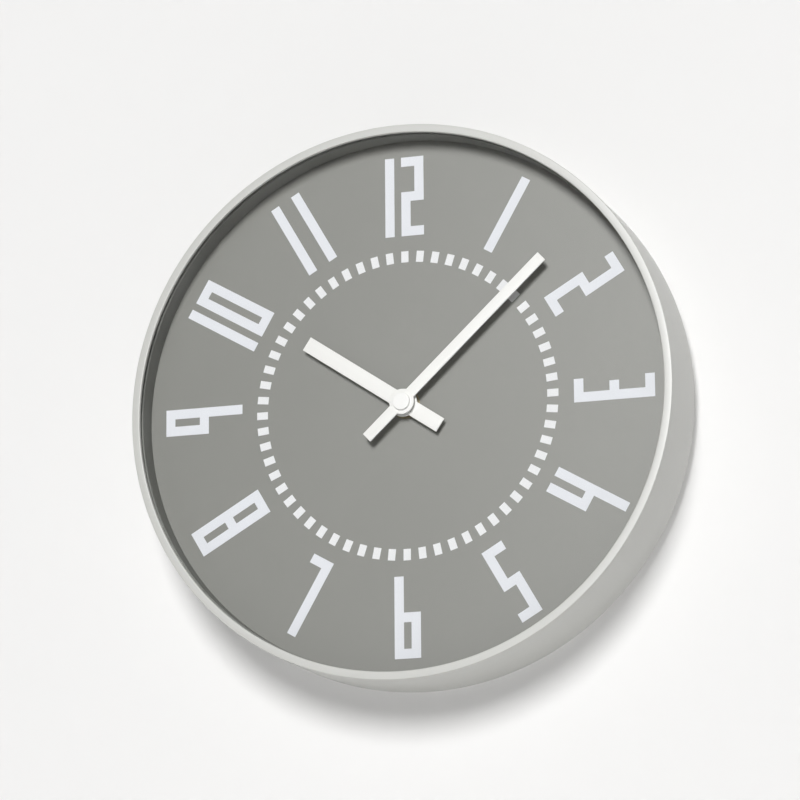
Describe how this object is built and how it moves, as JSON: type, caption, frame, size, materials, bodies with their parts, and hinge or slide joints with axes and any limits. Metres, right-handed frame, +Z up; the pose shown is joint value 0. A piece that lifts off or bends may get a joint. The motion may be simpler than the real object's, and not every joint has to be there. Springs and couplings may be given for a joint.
{
  "type": "wall clock",
  "caption": "Round wall clock with a deep moulded case, flat glass, grey dial with white block numerals, two white baton hands and a battery quartz movement behind.",
  "frame": {"origin": "on the hands' axis in the plane of the wall, at the middle of the flat ring on which the clock lies against it", "axes": "+Z up towards twelve, +Y along the hands' axis into the wall, +X to the right seen from the front, so the dial faces -Y"},
  "size_m": [0.254, 0.049, 0.254],
  "materials": {
    "case_plastic": "light grey, satin",
    "lens_glass": "clear, polished",
    "inner_wall": "dark grey, matt",
    "dial_face": "mid grey, matt, with white print",
    "zinc_steel": "zinc plated",
    "gasket_rubber": "black",
    "brass_part": "turned",
    "hand_white": "painted matt white",
    "cap_white": "white",
    "cannon_metal": "turned",
    "wheel_plastic": "natural acetal",
    "dark_metal": "sintered magnet",
    "knob_plastic": "red",
    "movement_plastic": "black, satin",
    "bobbin_plastic": "natural",
    "copper_wire": "enamelled copper",
    "board_resin": "green solder mask",
    "chip_resin": "black resin",
    "contact_metal": "nickel plated",
    "cell_jacket": "plain printed jacket, no name"
  },
  "bodies": {
    "clock": {"case": "case_plastic", "lens": "lens_glass", "spacer_ring": "inner_wall", "dial_plate": "dial_face", "back_cover": "case_plastic", "hanger_plate": "zinc_steel", "hanger_screws": "zinc_steel", "gasket": "gasket_rubber", "center_bush": "brass_part", "fixing_washer": "brass_part", "fixing_nut": "brass_part", "movement_base": "movement_plastic", "train_bridge": "wheel_plastic", "movement_cover": "movement_plastic", "stator": "zinc_steel", "coil_core": "zinc_steel", "coil_bobbin": "bobbin_plastic", "coil_winding": "copper_wire", "circuit_board": "board_resin", "crystal": "zinc_steel", "chip": "chip_resin", "contact_plus": "contact_metal", "contact_minus": "contact_metal"},
    "minute": {"minute_hand": "hand_white", "minute_cap": "cap_white", "cannon_pinion": "cannon_metal", "centre_wheel": "wheel_plastic"},
    "hour": {"hour_hand": "hand_white", "hour_wheel": "wheel_plastic"},
    "motion": {"motion_wheel": "wheel_plastic"},
    "third": {"third_wheel": "wheel_plastic"},
    "seconds": {"seconds_wheel": "wheel_plastic"},
    "intermediate": {"intermediate_wheel": "wheel_plastic"},
    "rotor": {"rotor_pinion": "wheel_plastic", "rotor_magnet": "dark_metal"},
    "setting": {"setting_arbor": "knob_plastic", "setting_knob": "knob_plastic"},
    "battery": {"battery_cell": "cell_jacket"}
  },
  "joints": [
    {"name": "minute_spin", "type": "hinge", "parent": "clock", "child": "minute", "pos_m": [0, -0.02, 0], "axis": [0, 1, 0], "continuous": true},
    {"name": "hour_spin", "type": "hinge", "parent": "clock", "child": "hour", "pos_m": [0, -0.02, 0], "axis": [0, 1, 0], "continuous": true},
    {"name": "motion_spin", "type": "hinge", "parent": "clock", "child": "motion", "pos_m": [0.005, -0.02, 0.00866], "axis": [0, 1, 0], "continuous": true},
    {"name": "third_spin", "type": "hinge", "parent": "clock", "child": "third", "pos_m": [-0.00935, -0.02, 0.0054], "axis": [0, 1, 0], "continuous": true},
    {"name": "seconds_spin", "type": "hinge", "parent": "clock", "child": "seconds", "pos_m": [0, -0.02, 0], "axis": [0, 1, 0], "continuous": true},
    {"name": "intermediate_spin", "type": "hinge", "parent": "clock", "child": "intermediate", "pos_m": [0.01015, -0.02, -0.00473], "axis": [0, 1, 0], "continuous": true},
    {"name": "rotor_spin", "type": "hinge", "parent": "clock", "child": "rotor", "pos_m": [0.01301, -0.02, 0.0038], "axis": [0, 1, 0], "continuous": true},
    {"name": "setting_spin", "type": "hinge", "parent": "clock", "child": "setting", "pos_m": [0.01487, -0.02, 0.01225], "axis": [0, 1, 0], "continuous": true},
    {"name": "battery_slide", "type": "slide", "parent": "clock", "child": "battery", "axis": [0, 1, 0], "range_m": [0, 0.034]}
  ],
  "couplings": [
    {"joint": "hour_spin", "follows": "minute_spin", "ratio": 0.083333},
    {"joint": "motion_spin", "follows": "minute_spin", "ratio": -0.33333},
    {"joint": "third_spin", "follows": "minute_spin", "ratio": -8},
    {"joint": "seconds_spin", "follows": "minute_spin", "ratio": 60},
    {"joint": "intermediate_spin", "follows": "minute_spin", "ratio": -360},
    {"joint": "rotor_spin", "follows": "minute_spin", "ratio": 1800},
    {"joint": "setting_spin", "follows": "minute_spin", "ratio": 0.83333}
  ]
}
